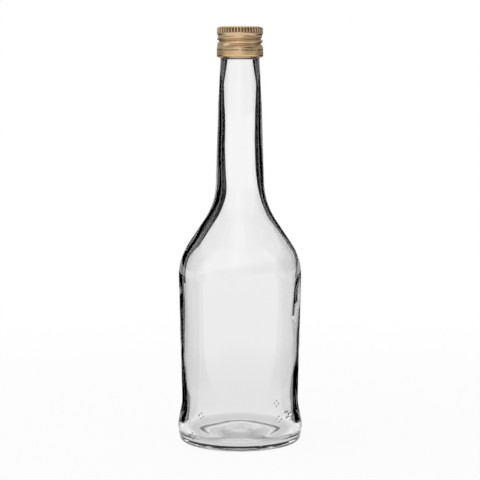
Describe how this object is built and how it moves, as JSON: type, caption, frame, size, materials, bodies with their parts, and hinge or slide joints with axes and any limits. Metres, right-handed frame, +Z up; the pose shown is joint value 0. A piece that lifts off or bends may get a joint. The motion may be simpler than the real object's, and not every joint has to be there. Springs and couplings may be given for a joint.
{
  "type": "bottle",
  "caption": "Clear glass bottle with a tapered body, flared heel, long neck and a gold aluminium screw cap with a tamper band.",
  "frame": {"origin": "on the bottle's axis, in the plane of the bearing ring that it stands on", "axes": "+Z up the bottle's axis to the cap; -Y faces the viewer of the reference picture"},
  "size_m": [0.0782, 0.0782, 0.2591],
  "materials": {
    "clear_glass": "clear flint glass, fire-polished",
    "gold_aluminium": "gold lacquer, satin",
    "white_foam": "closed-cell foam",
    "barrier_film": "smooth film"
  },
  "bodies": {
    "bottle": {"glass_bottle": "clear_glass"},
    "liner": {"liner_wad": "white_foam", "liner_facing": "barrier_film"},
    "cap": {"cap_shell": "gold_aluminium"},
    "band": {"tamper_band": "gold_aluminium"}
  },
  "joints": [
    {"name": "cap_rise", "type": "slide", "parent": "bottle", "child": "liner", "axis": [0, 0, 1], "range_m": [0, 0.01588]},
    {"name": "cap_turn", "type": "hinge", "parent": "liner", "child": "cap", "pos_m": [0, 0, 0.2569], "axis": [0, 0, 1], "range_deg": [0, 1800]},
    {"name": "band_turn", "type": "hinge", "parent": "bottle", "child": "band", "pos_m": [0, 0, 0.2423], "axis": [0, 0, 1], "continuous": true}
  ],
  "couplings": [
    {"joint": "cap_rise", "follows": "cap_turn", "m_per_rad": 0.00050532}
  ]
}
